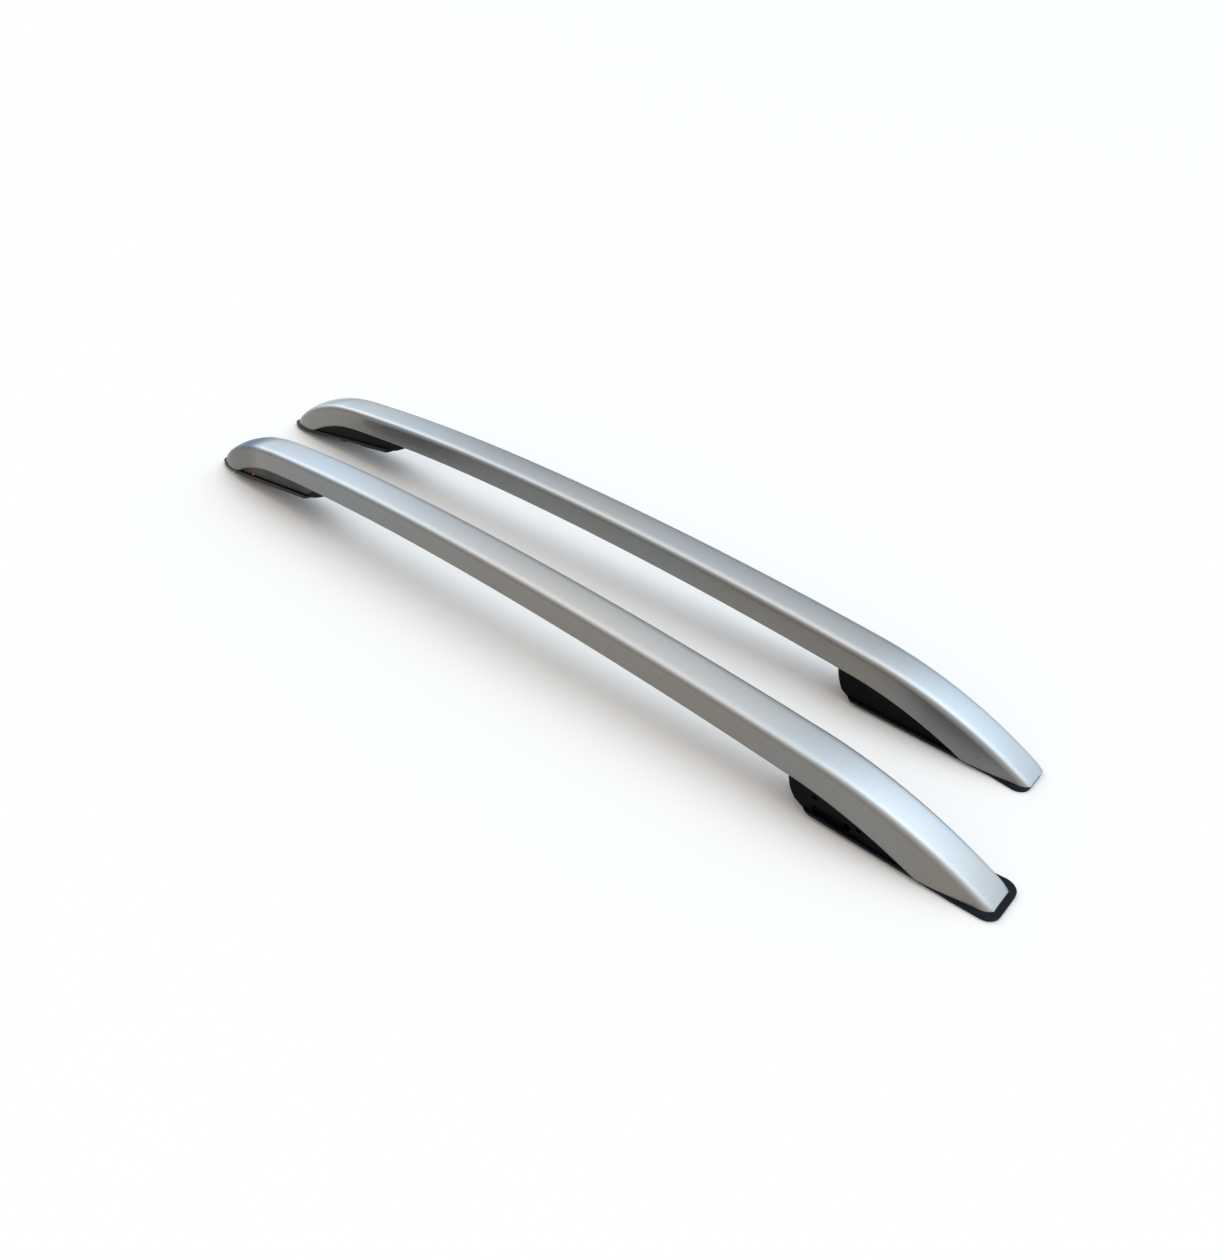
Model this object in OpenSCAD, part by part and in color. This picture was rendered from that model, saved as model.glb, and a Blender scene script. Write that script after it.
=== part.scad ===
// Roof side rail pair
// Two hollow bars of bent aluminium, each on two black moulded legs with rubber gaskets.
// The rails run along X with their front ends towards -X, and stand on the tips of their gaskets.
// The left rail is at -Y and the right rail, its mirror image, at +Y.

/* [Bar] */
// Length of the silver bar from its front tip to its rear tip
bar_len = 1554; // [1400:1:1800]
// Height of the bar's top at its crown
crown_h = 119.5; // [114:0.5:130]
// Distance of the crown from the front tip
crown_from_front = 632; // [560:4:700]
// Width of the top, measured to the sharp edges before they are rounded
bar_w = 60; // [50:0.5:68]
// Depth of the bar's section
bar_h = 40; // [34:0.5:44]
// Wall of the bar
bar_wall = 2.5; // [2:0.1:3.5]
// Radius of the two upper edges
upper_edge_r = 8; // [5:0.5:10]
// Radius of the two lower edges
lower_edge_r = 4; // [3:0.5:6]
// Rise of the slightly domed top between its edges
top_dome = 1; // [0.4:0.1:2]
// How far the outer face flares out at its lower edge
outer_flare = 5; // [2:0.5:8]
// How far the inner face flares out at its lower edge
inner_flare = 1; // [0:0.5:4]
// Outward lean of the plane in which the bar is bent, in degrees
lean = 2.8; // [0:0.1:4]

/* [Bar ends] */
// Length of the front bend, from its shoulder to the tip
front_bend_len = 216; // [200:2:240]
// Height of the bar's top at the front shoulder
front_shoulder_h = 101.3; // [98:0.1:106]
// Length of the rear bend, from its shoulder to the tip
rear_bend_len = 243; // [230:1:265]
// Height of the bar's top at the rear shoulder
rear_shoulder_h = 85.3; // [82:0.1:90]
// Length over which the front tip narrows to its rounded nose
nose_len = 72; // [60:1:85]
// Width of the front tip as a share of the bar's width
nose_share = 0.4; // [0.3:0.05:0.6]
// Extra rise of the domed top behind the front tip
nose_dome = 5; // [0:0.5:8]
// Length of that dome, which dies out at the tip too
nose_dome_len = 190; // [150:5:220]
// Width of the top at the rear tip as a share of the bar's width
rear_tip_share = 0.82; // [0.7:0.02:1]
// Width over the lower edges near the rear tip as a share of their usual width
rear_skirt_share = 1.17; // [1:0.01:1.2]
// Length over which the corners of the rear tip are rounded
rear_corner_len = 14; // [8:1:16]
// Share of the tip's width that its rounded corners leave
rear_corner_share = 0.8; // [0.7:0.02:0.96]
// Height of the bar's blunt front tip over the gasket
front_tip_h = 1.5; // [1:0.1:2]
// Height of the bar's blunt rear tip over the gasket
rear_tip_h = 2; // [1:0.1:2.4]

/* [Pair] */
// Distance between the two bars at their middles
rail_spacing = 207.5; // [180:0.5:1200]
// How far each end of the left rail stands out or in, because it lies a little askew
left_toe = 6.5; // [0:0.5:12]
// How far each end of the right rail stands out or in
right_toe = 2.5; // [0:0.5:12]
// Distance by which the left rail lies further to the rear
stagger = 48.8; // [0:0.4:60]

/* [Legs] */
// Length of the front leg along its bottom, from the gasket's tip
front_leg_len = 338; // [320:1:360]
// Length of the left rear leg along its bottom, from the gasket's tip
rear_leg_len = 253; // [248:1:275]
// Length of the right rear leg along its bottom, from the gasket's tip
right_rear_leg_len = 264; // [248:1:275]
// How much further the front leg reaches under the bar at its top
front_leg_overhang = 42; // [30:1:50]
// How much further the rear leg reaches under the bar at its top
rear_leg_overhang = 19; // [10:1:28]
// Slope of the roof under the front leg, in degrees
front_slope = 8.1; // [7:0.05:8.5]
// Slope of the roof under the rear leg, in degrees
rear_slope = 1.5; // [0.5:0.1:2.5]
// Distance of the leg's sides inside the bar's lower edges
leg_inset = 3; // [2.6:0.1:5]
// Wall of the moulded leg
leg_wall = 3.5; // [2.5:0.1:4.5]
// Thickness of the leg's top under the bar
leg_roof = 4; // [3:0.5:5]
// Gap between the leg and the bar's underside
leg_clearance = 0.3; // [0.1:0.05:0.6]
// Radius of the leg's inner corners in plan
leg_corner_r = 12; // [6:1:18]
// Size of the chamfered corner at the bottom of the leg's inner end
leg_chamfer = 8; // [4:0.5:10]
// Gap all round the tongue that plugs the bar's open end
tongue_clearance = 1; // [0.4:0.1:1.5]

/* [Gaskets] */
// Height of the front gasket's rim
front_rim_t = 7; // [6:0.5:8]
// Height of the rear gasket's rim
rear_rim_t = 4; // [3.5:0.5:5]
// Thickness of the front gasket's floor under the leg
front_floor_t = 3; // [2:0.5:4]
// Thickness of the rear gasket's floor under the leg
rear_floor_t = 2; // [1.5:0.5:2.5]
// Distance by which the rim stands out past the bar's lower edges
rim_out = 0.5; // [0:0.5:2]
// Gap between the leg and the gasket's pocket
pocket_clearance = 0.3; // [0.1:0.05:0.6]
// Reach of the gasket past the bar's tip at the front
front_reach = 11; // [8:1:14]
// Reach of the gasket past the bar's tip at the rear of the left rail
rear_reach = 8; // [6:1:12]
// Reach of the gasket past the bar's tip at the rear of the right rail
right_rear_reach = 3; // [2:1:12]
// Half of the gasket's width at its squarish rear tip
rear_gasket_half = 34; // [32:0.5:38]
// Radius of that tip's corners
rear_gasket_corner_r = 16; // [10:1:20]
// Number of waves in the rim at the inner side of the right front foot
rim_waves = 2; // [1:1:2]
// Length of one of those waves
wave_len = 50; // [30:2:56]
// Height to which a wave lifts the rim off the roof
wave_h = 4; // [2:0.5:5]

/* [Fasteners] */
// Radius of the leg screws' shank
screw_r = 2.9; // [2:0.1:3.4]
// Radius of the screw heads
screw_head_r = 6; // [5:0.5:6.5]
// Height of the screw heads
screw_head_h = 4; // [3:0.5:5]
// Thickness of the leg under the bar that the screws clamp
screw_grip = 8; // [6:0.5:9]
// Length of the screw past the bar's lower face
screw_reach = 13; // [11:0.5:16]
// Radius of the rivet nut's body
rivet_body_r = 4.5; // [4:0.1:5]
// Radius of the rivet nut's flange and of its upset collar
rivet_flange_r = 6.5; // [6:0.1:7]
// Thickness of the rivet nut's flange
rivet_flange_t = 1; // [0.8:0.1:1.2]
// Length of the rivet nut above the bar's lower face
rivet_len = 11; // [9:0.5:14]
// Height of the upset collar above the bar's wall
rivet_upset_h = 3; // [2:0.5:4]
// Gap between a screw and its thread, and between a rivet nut and its hole
thread_clearance = 0.1; // [0.05:0.05:0.2]
// Gap round screws and heads in the leg
hole_clearance = 0.6; // [0.3:0.1:1]
// Radius of the threaded hole in the mounting nuts
nut_bore_r = 3.4; // [2.5:0.1:4]
// Radius of the mounting nuts over their corners
nut_r = 7.5; // [6.5:0.1:8.5]
// Height of the mounting nuts
nut_h = 6.5; // [5:0.5:8]
// Thickness of the steel plate that the mounting nut bears on
plate_t = 3; // [2:0.5:4]
// Length of that plate
plate_len = 46; // [36:1:54]
// Width of that plate
plate_w = 36; // [28:1:42]
// Radius of the threaded inserts near the tips
insert_r = 5; // [4:0.1:6]
// Length of the threaded inserts
insert_len = 12; // [8:0.5:13]
// Radius of the thread in the inserts
insert_bore_r = 2.5; // [2:0.1:3.4]
// Radius of the holes that let the mounting bolts through gasket and leg
bolt_hole_r = 4.5; // [3.5:0.1:5.5]

/* [Hidden] */

silver = [0.74, 0.77, 0.80];
black_plastic = [0.06, 0.06, 0.06];
rubber = [0.04, 0.05, 0.07];
zinc = [0.62, 0.62, 0.58];
brass = [0.72, 0.60, 0.32];

// A foot is described from its gasket's tip: x runs inboard, z up, and the outer side is at -y.
// Lists with three values hold those of the front feet, the left rear foot and the right rear foot.
FRONT = 0;
REAR = 1;
RIGHT_REAR = 2;
ENDS = [FRONT, REAR, RIGHT_REAR];
reach = [front_reach, rear_reach, right_rear_reach];
slope = [front_slope, rear_slope, rear_slope];
leg_len = [front_leg_len, rear_leg_len, right_rear_leg_len];
overhang = [front_leg_overhang, rear_leg_overhang, rear_leg_overhang];
rim_t = [front_rim_t, rear_rim_t, rear_rim_t];
floor_t = [front_floor_t, rear_floor_t, rear_floor_t];
tip_h = [front_tip_h, rear_tip_h, rear_tip_h];
shoulder_h = [front_shoulder_h, rear_shoulder_h, rear_shoulder_h];
bend_len = [front_bend_len, rear_bend_len, rear_bend_len];
crown_dist = [crown_from_front, bar_len - crown_from_front, bar_len - crown_from_front];

// Height of the roof and of the gasket's rim, where the bar's ends are cut off
function roof_z(end, x) = x * tan(slope[end]);
function seat_z(end, x) = roof_z(end, x) + rim_t[end];

// The bar's top line is a wide bow from the crown to each shoulder, then a tight bend to each tip
bow_run = crown_dist - bend_len;
bow_drop = [for (end = ENDS) crown_h - shoulder_h[end]];
bow_r = [for (end = ENDS) (bow_run[end] ^ 2 + bow_drop[end] ^ 2) / (2 * bow_drop[end])];
bow_angle = [for (end = ENDS) asin(bow_run[end] / bow_r[end])];
bend_drop = [for (end = ENDS) shoulder_h[end] - seat_z(end, reach[end]) - tip_h[end]];
tip_angle = [for (end = ENDS) 2 * atan(bend_drop[end] / bend_len[end]) - bow_angle[end]];
bend_r = [for (end = ENDS) bend_len[end] / (sin(tip_angle[end]) - sin(bow_angle[end]))];

// Run and drop of the top line from the crown to the place where its slope is a
function line_run(end, a) =
    a <= bow_angle[end]
        ? bow_r[end] * sin(a)
        : bow_run[end] + bend_r[end] * (sin(a) - sin(bow_angle[end]));
function line_drop(end, a) =
    a <= bow_angle[end]
        ? bow_r[end] * (1 - cos(a))
        : bow_drop[end] + bend_r[end] * (cos(bow_angle[end]) - cos(a));

// Slope of the line that lies a depth below the top line, at x in the foot's frame
function slope_at(end, x, depth) =
    let (run = crown_dist[end] + reach[end] - x)
    let (bow_a = asin(min(1, run / (bow_r[end] - depth))))
    bow_a <= bow_angle[end]
        ? bow_a
        : asin((run - (bow_r[end] - bend_r[end]) * sin(bow_angle[end])) / (bend_r[end] - depth));
function line_z(end, x, depth) =
    let (a = slope_at(end, x, depth))
    crown_h - line_drop(end, a) - depth * cos(a);

// Sideways shift at a height, because the bending plane leans outwards
lean_ref_h = crown_h / 2;
function lean_y(z) = (lean_ref_h - z) * tan(lean);

// Stations along the bar, given by the slope of its top line: negative in front of the crown
past_tip = 8;
corner_steps = 4;
function bend_stations(end) =
    let (corner_a = rear_corner_len / bend_r[end] * 180 / PI)
    let (from_a = tip_angle[end] - corner_a)
    let (n = ceil((from_a - bow_angle[end]) / 2))
    concat(
        [for (i = [1:n]) bow_angle[end] + i * (from_a - bow_angle[end]) / n],
        [for (i = [1:corner_steps]) from_a + i * corner_a / corner_steps],
        [for (i = [1:corner_steps]) tip_angle[end] + i * past_tip / corner_steps]
    );
bow_steps = [6, 9, 9];
function bow_stations(end) = [for (i = [1:bow_steps[end]]) bow_angle[end] * i / bow_steps[end]];
function stations(rear) =
    concat(
        [for (a = reversed(concat(bow_stations(FRONT), bend_stations(FRONT)))) -a],
        [0],
        bow_stations(rear),
        bend_stations(rear)
    );
function reversed(v) = [for (i = [len(v) - 1:-1:0]) v[i]];

// Shares of the full width, by distance from the tip: a rounded nose in front, and behind a top
// that narrows to a tip with rounded corners while the lower edges spread
nose_axis = nose_len / sqrt(1 - nose_share ^ 2);
least_share = 0.2;
skirt_run_share = 0.75;
function front_share(f) =
    f < nose_len ? sqrt(max(least_share ^ 2, 1 - ((nose_len - f) / nose_axis) ^ 2)) : 1;
function rear_top_share(f) =
    let (corner = min(1, max(0, 1 - f / rear_corner_len)))
    (1 - (1 - rear_tip_share) * min(1, max(0, 1 - f / rear_bend_len)))
    * (1 - (1 - rear_corner_share) * corner ^ 2);
function rear_low_share(f) =
    1 + (rear_skirt_share - 1) * min(1, max(0, 1 - f / rear_bend_len) / skirt_run_share);
function width_share(front, f, depth_share) =
    front
        ? front_share(f)
        : rear_top_share(f) + (rear_low_share(f) - rear_top_share(f)) * depth_share;

// Outline of the section, inset by a wall: [across, depth] with the outer side negative
arc_steps = 4;
function corner(cx, cy, r, from, to) = [
    for (i = [0:arc_steps])
        let (t = from + (to - from) * i / arc_steps)
        [cx + r * cos(t), cy - r * sin(t)]
];
function section(inset) =
    let (half = bar_w / 2 - inset)
    let (depth = bar_h - 2 * inset)
    let (out_a = atan(outer_flare / bar_h))
    let (in_a = atan(inner_flare / bar_h))
    let (r_up = upper_edge_r - inset)
    let (r_low = max(1, lower_edge_r - inset))
    let (out_low = half + outer_flare)
    let (in_low = half + inner_flare)
    let (pts = concat(
        corner(-out_low + r_low / tan(45 - out_a / 2), depth - r_low, r_low, 270, 180 - out_a),
        corner(-half + r_up / tan(45 + out_a / 2), r_up, r_up, 180 - out_a, 90),
        [[0, 0]],
        corner(half - r_up / tan(45 + in_a / 2), r_up, r_up, 90, in_a),
        corner(in_low - r_low / tan(45 - in_a / 2), depth - r_low, r_low, in_a, -90)
    ))
    [for (p = pts) [p[0], inset + p[1] + top_dome * (p[0] / half) ^ 2 * (1 - p[1] / depth)]];

// Ring of points at a station, in the rail's own frame with x = 0 halfway between the bar's tips
function ring(rear, a, inset) =
    let (front = a < 0)
    let (end = front ? FRONT : rear)
    let (side = front ? -1 : 1)
    let (x = crown_from_front - bar_len / 2 + side * line_run(end, abs(a)))
    let (z = crown_h - line_drop(end, abs(a)))
    let (half = bar_w / 2)
    let (from_tip = bar_len / 2 - abs(x))
    let (u = from_tip / nose_dome_len)
    let (nose_rise = front ? nose_dome * max(0, 4 * u * (1 - u)) : 0)
    [for (p = section(inset))
        let (v = p[0] / half)
        let (w = p[1] - nose_rise * max(0, 1 - v * v) * max(0, 1 - p[1] / bar_h))
        let (px = x - w * sin(a))
        let (pz = z - w * cos(a))
        let (share = width_share(front, bar_len / 2 - abs(px), min(1, p[1] / bar_h)))
        let (share_in = (half * share - inset) / (half - inset))
        [px, p[0] * share_in + lean_y(pz), pz]];

ring_n = len(section(0));
function wall_faces(first, count, flip) = [
    for (i = [0:count - 2])
        for (j = [0:ring_n - 1])
            let (k = (j + 1) % ring_n)
            let (p = first + i * ring_n)
            for (f = [[p + j, p + ring_n + j, p + k], [p + k, p + ring_n + j, p + ring_n + k]])
                flip ? [f[0], f[2], f[1]] : f
];
function end_faces(outer, inner, flip) = [
    for (j = [0:ring_n - 1])
        let (k = (j + 1) % ring_n)
        for (f = [[outer + j, outer + k, inner + j], [inner + j, outer + k, inner + k]])
            flip ? [f[0], f[2], f[1]] : f
];

// The tube before its ends are cut: an outer skin, an inner skin and a ring of wall at each end
module tube_blank(rear) {
    slopes = stations(rear);
    n = len(slopes);
    inner = n * ring_n;
    outer_rings = [for (a = slopes) each ring(rear, a, 0)];
    inner_rings = [for (a = slopes) each ring(rear, a, bar_wall)];
    polyhedron(
        points = concat(outer_rings, inner_rings),
        faces = concat(
            wall_faces(0, n, false),
            wall_faces(inner, n, true),
            end_faces(0, inner, false),
            end_faces(inner - ring_n, inner + inner - ring_n, true)
        )
    );
}

// Places a foot's frame at its end of the bar
module at_end(end) {
    if (end == FRONT)
        translate([-bar_len / 2 - reach[FRONT], 0, 0]) children();
    else
        translate([bar_len / 2 + reach[end], 0, 0]) mirror([1, 0, 0]) children();
}

// How far cuts run past a face, and how far joined solids run into each other
over = 1;
overlap = 0.1;

// Extrudes an elevation outline, [x, z], right through the rail's width
through = 200;
module across(pts) {
    rotate([90, 0, 0]) linear_extrude(height = through, center = true) polygon(pts);
}

// Slab between two heights above the roof, from x0 to x1
module slab(end, z0, z1, x0, x1) {
    across([
        [x0, roof_z(end, x0) + z0],
        [x1, roof_z(end, x1) + z0],
        [x1, roof_z(end, x1) + z1],
        [x0, roof_z(end, x0) + z1]
    ]);
}

// Everything between the roof's far side and the line at a depth below the bar's top
line_step = 6;
below = -120;
module under_line(end, depth, x0, x1) {
    n = ceil((x1 - x0) / line_step);
    across(concat(
        [[x0, below], [x1, below]],
        [for (i = [0:n]) let (x = x1 + (x0 - x1) * i / n) [x, line_z(end, x, depth)]]
    ));
}

// A foot's plan: a rounded tip, sides that widen to the bar's lower edges, rounded inner corners
bar_half = [bar_w / 2 + outer_flare, bar_w / 2 + inner_flare];
leg_tip_half = [bar_w / 2, bar_w / 2 * rear_tip_share, bar_w / 2 * rear_tip_share];
rear_leg_round = [10, 8];
front_leg_round = [nose_len, bar_w / 2 * (1 - nose_share / 2)];
leg_tip_round = [front_leg_round, rear_leg_round, rear_leg_round];
gasket_tip_half = [bar_w / 2, rear_gasket_half, rear_gasket_half];
gasket_round = [rear_gasket_corner_r, rear_gasket_corner_r];
gasket_tip_round = [front_leg_round, gasket_round, gasket_round];
rear_widen_share = 0.2;
rear_widen_len = bend_len[REAR] * rear_widen_share;
widen_len = [nose_len + reach[FRONT], rear_widen_len, rear_widen_len];
mid_line = [for (end = ENDS) [lean_y(rim_t[end]), lean_y(line_z(end, leg_len[end], bar_h))]];
function mid_y(end, x) = mid_line[end][0] + (mid_line[end][1] - mid_line[end][0]) * x / leg_len[end];
plan_steps = 6;
function plan_side(end, side, tip, len, grow, corner_r) =
    let (s = side == 0 ? -1 : 1)
    let (half = bar_half[side] + grow)
    let (pts = concat(
        [for (i = [0:plan_steps])
            let (t = 90 * i / plan_steps)
            [tip[0] + tip[2] * (1 - cos(t)), tip[1] - tip[3] * (1 - sin(t))]],
        [[max(widen_len[end], tip[0] + tip[2] + over), half]],
        [for (i = [0:plan_steps])
            let (t = 90 * i / plan_steps)
            [len - corner_r * (1 - sin(t)), half - corner_r * (1 - cos(t))]]
    ))
    [for (p = pts) [p[0], s * p[1] + mid_y(end, p[0])]];
function foot_plan(end, tip, len, grow, corner_r) =
    concat(
        plan_side(end, 0, tip, len, grow, corner_r),
        reversed(plan_side(end, 1, tip, len, grow, corner_r))
    );
// A tip is given by its x, its half width, and the length and depth of its rounding
function leg_tip(end, x, inset) =
    let (round = leg_tip_round[end])
    [x, leg_tip_half[end] - inset, round[0] - inset / 2, round[1] - inset / 2];
function gasket_tip(end) =
    let (round = gasket_tip_round[end])
    [0, gasket_tip_half[end] + rim_out, round[0] + rim_out, round[1] + rim_out];
module plan_prism(end, tip, len, grow, corner_r) {
    translate([0, 0, below])
        linear_extrude(height = crown_h - below)
            polygon(foot_plan(end, tip, len, grow, corner_r));
}

// Mounting nut near the leg's inner end, threaded insert near the tip
plate_margin = 14;
nut_x = [for (end = ENDS) leg_len[end] - plate_margin - plate_len / 2];
front_insert_share = 0.62;
rear_insert_dist = 44;
insert_dist = [nose_len * front_insert_share, rear_insert_dist, rear_insert_dist];
insert_x = reach + insert_dist;
nut_z = [for (end = ENDS) seat_z(end, nut_x[end]) + plate_t];
insert_lift = 1.1;
insert_z = [for (end = ENDS) roof_z(end, insert_x[end]) + floor_t[end] + insert_lift];

// Leg screws: the first where there is room for it under the bar, the second halfway to the nut
screw_room = screw_grip + screw_head_h + 2 * hole_clearance;
function room_under(end, x) = line_z(end, x, bar_h) - seat_z(end, x);
function first_screw_x(end) =
    [for (x = [reach[end]:1:leg_len[end]]) if (room_under(end, x) > screw_room) x][0];
screw_x = [for (end = ENDS) let (x = first_screw_x(end)) [x, (x + nut_x[end]) / 2]];

// Puts children on a leg screw's axis, with z = 0 on the bar's lower face
module at_screw(end, i) {
    x = screw_x[end][i];
    translate([x, mid_y(end, x), line_z(end, x, bar_h)])
        rotate([0, -slope_at(end, x, bar_h), 0])
            children();
}
module at_nut(end) {
    translate([nut_x[end], mid_y(end, nut_x[end]), nut_z[end]]) rotate([0, -slope[end], 0]) children();
}
module at_insert(end) {
    translate([insert_x[end], mid_y(end, insert_x[end]), insert_z[end]]) children();
}
module post(r, z0, z1, fn = 32) {
    translate([0, 0, z0]) cylinder(r = r, h = z1 - z0, $fn = fn);
}

// Bar: one tube, stretch bent, its ends cut off flush with the gaskets' rims
module bar(rear) {
    difference() {
        tube_blank(rear);
        for (end = [FRONT, rear])
            at_end(end) {
                slab(end, below, rim_t[end], below, leg_len[end] / 2);
                translate([below, -through / 2, below])
                    cube([reach[end] - below, through, crown_h - below]);
                for (i = [0, 1])
                    at_screw(end, i) post(rivet_body_r + thread_clearance, -bar_wall, 2 * bar_wall);
            }
    }
}

// Tongue of the leg: it fills the bar's open end above the lower wall, and stands on the leg's foot
front_tongue_share = 1.15;
rear_tongue_share = 0.42;
rear_tongue_x = bend_len[REAR] * rear_tongue_share;
tongue_x = [reach[FRONT] + nose_len * front_tongue_share, rear_tongue_x, rear_tongue_x];
tongue_inset = bar_wall + tongue_clearance;
function foot_mid(end, x) = roof_z(end, x) + (floor_t[end] + rim_t[end]) / 2;
module tongue(end) {
    tip_x = reach[end] + tongue_inset + upper_edge_r;
    n = ceil((tongue_x[end] - tip_x) / line_step);
    xs = [for (i = [0:n]) tip_x + (tongue_x[end] - tip_x) * i / n];
    top = [for (x = xs) [x, max(line_z(end, x, tongue_inset), foot_mid(end, x))]];
    low = [for (x = xs) [x, max(line_z(end, x, bar_h - tongue_inset), foot_mid(end, x))]];
    inset = upper_edge_r + bar_wall;
    intersection() {
        across(concat(top, reversed(low)));
        plan_prism(end, leg_tip(end, tip_x, upper_edge_r), leg_len[end], -inset, bar_wall);
    }
}

// Elevation of the leg: under the bar, or under the gasket's rim where the bar is cut off, and
// above the gasket's floor. The gasket's pocket has the same shape, grown upwards.
module leg_profile(end, grow) {
    top_x = leg_len[end] + overhang[end];
    end_z = line_z(end, top_x, bar_h);
    low_x = leg_len[end] - leg_chamfer;
    low_z = roof_z(end, leg_len[end]) + floor_t[end];
    rise = leg_chamfer / (end_z - low_z);
    intersection() {
        union() {
            under_line(end, bar_h + leg_clearance - grow, reach[end], top_x);
            slab(end, below / 2, rim_t[end] + grow, 0, leg_len[end] / 2);
        }
        across([
            [0, roof_z(end, 0) + floor_t[end]],
            [low_x, roof_z(end, low_x) + floor_t[end]],
            [leg_len[end] + overhang[end] * rise, low_z + leg_chamfer],
            [top_x, end_z],
            [top_x, crown_h],
            [0, crown_h]
        ]);
    }
}

// Leg: a moulding with hollow bays in its underside, which the gasket closes
core_bays = 4;
core_from_share = 0.45;
module cores(end) {
    x0 = reach[end] + bend_len[end] * core_from_share;
    x1 = nut_x[end] - plate_len / 2;
    pitch = (x1 - x0) / core_bays;
    inset = leg_inset + leg_wall;
    depth = bar_h + leg_clearance + leg_roof;
    for (x = [for (i = [0:core_bays - 1]) x0 + i * pitch])
        intersection() {
            under_line(end, depth, x, x + pitch - leg_wall);
            plan_prism(end, leg_tip(end, reach[end], inset), leg_len[end], -inset, leg_corner_r);
        }
}
module leg_shape(end) {
    top_x = leg_len[end] + overhang[end];
    tip = leg_tip(end, reach[end] + leg_inset, leg_inset);
    intersection() {
        leg_profile(end, 0);
        plan_prism(end, tip, top_x, -leg_inset, leg_corner_r);
    }
}
boss_wall = 3.5;
boss_r = screw_head_r + boss_wall;
module leg(end) {
    difference() {
        union() {
            difference() {
                leg_shape(end);
                cores(end);
            }
            intersection() {
                leg_shape(end);
                for (i = [0, 1])
                    at_screw(end, i) post(boss_r, -crown_h, 0);
            }
            tongue(end);
        }
        for (i = [0, 1])
            at_screw(end, i) {
                post(screw_r + hole_clearance, -crown_h, over);
                post(screw_head_r + hole_clearance, -crown_h, -screw_grip);
                post(rivet_flange_r + hole_clearance, -rivet_flange_t - leg_clearance, over);
            }
        plate_solid(end);
        at_nut(end) {
            post(nut_r + hole_clearance, -plate_t / 2, nut_h + hole_clearance);
            post(bolt_hole_r, -2 * rim_t[end], over);
        }
        at_insert(end) {
            post(insert_r, 0, insert_len);
            post(bolt_hole_r, -rim_t[end], over);
        }
    }
}

// Gasket: a rubber tray with a floor under the leg and a rim round leg and bar
module gasket(end) {
    gap_x = reach[end] + leg_inset - pocket_clearance;
    inset = leg_inset - pocket_clearance;
    top_x = leg_len[end] + overhang[end];
    difference() {
        intersection() {
            slab(end, 0, rim_t[end], -over, leg_len[end] + over);
            plan_prism(end, gasket_tip(end), leg_len[end] + rim_out, rim_out, leg_corner_r + rim_out);
        }
        intersection() {
            plan_prism(end, leg_tip(end, gap_x, inset), top_x, -inset, leg_corner_r);
            leg_profile(end, rim_t[end]);
        }
        at_nut(end) post(bolt_hole_r, -crown_h, crown_h);
        at_insert(end) post(bolt_hole_r, -crown_h, crown_h);
    }
}

// Waves in the rim of the right front gasket, where it stands off the roof along the inner side
wave_from_share = 0.38;
wave_from = front_leg_len * wave_from_share;
wave_r = ((wave_len / 2) ^ 2 + wave_h ^ 2) / (2 * wave_h);
module waves() {
    for (i = [0:rim_waves - 1]) {
        x = wave_from + (i + 0.5) * (wave_len + leg_corner_r);
        translate([x, bar_half[1] - leg_inset / 2, roof_z(FRONT, x)])
            rotate([0, -front_slope, 0])
                translate([0, 0, wave_h - wave_r])
                    rotate([-90, 0, 0])
                        cylinder(r = wave_r, h = bar_w, $fn = 96);
    }
}

// Steel plate moulded into the leg, which spreads the mounting nut's pull
module plate_solid(end) {
    x0 = nut_x[end] - plate_len / 2;
    intersection() {
        slab(end, rim_t[end], rim_t[end] + plate_t, x0, x0 + plate_len);
        translate([x0, mid_y(end, nut_x[end]) - plate_w / 2, 0]) cube([plate_len, plate_w, crown_h]);
    }
}
module mount_plate(end) {
    difference() {
        plate_solid(end);
        at_nut(end) post(bolt_hole_r, -2 * plate_t, plate_t);
    }
}

// Mounting nut on top of the plate
module mount_nut(end) {
    at_nut(end)
        difference() {
            post(nut_r, 0, nut_h, 6);
            post(nut_bore_r, -over, nut_h + over);
        }
}

// Threaded insert in the leg's tongue, near the tip
module tip_insert(end) {
    at_insert(end)
        difference() {
            post(insert_r, 0, insert_len);
            post(insert_bore_r, -over, insert_len + over);
        }
}

// Flanged screws that hold the leg to the bar, each in a rivet nut in the bar's lower wall
module leg_screws(end) {
    for (i = [0, 1])
        at_screw(end, i) {
            post(screw_r, -screw_grip - overlap, screw_reach);
            post(screw_head_r, -screw_grip - screw_head_h, -screw_grip);
        }
}
module rivet_nuts(end) {
    for (i = [0, 1])
        at_screw(end, i)
            difference() {
                union() {
                    post(rivet_flange_r, -rivet_flange_t, 0);
                    post(rivet_body_r, -rivet_flange_t, rivet_len);
                    post(rivet_flange_r, bar_wall, bar_wall + rivet_upset_h);
                }
                post(screw_r + thread_clearance, -2 * rivet_flange_t, rivet_len + over);
            }
}

// Each rail lies a little askew: its toe turns it about its middle
x_middle = (rear_reach - front_reach) / 2;
// The widest places lie about a nose's length inside the rear tips
y_middle = (right_toe - left_toe) / 2 * (1 - 2 * nose_len / bar_len);
module left_rail() {
    translate([stagger / 2 - x_middle, -rail_spacing / 2 - y_middle, 0])
        rotate([0, 0, -atan(2 * left_toe / bar_len)])
            children();
}
module right_rail() {
    mirror([0, 1, 0])
        translate([-stagger / 2 - x_middle, -rail_spacing / 2 + y_middle, 0])
            rotate([0, 0, -atan(2 * right_toe / bar_len)])
                children();
}

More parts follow.
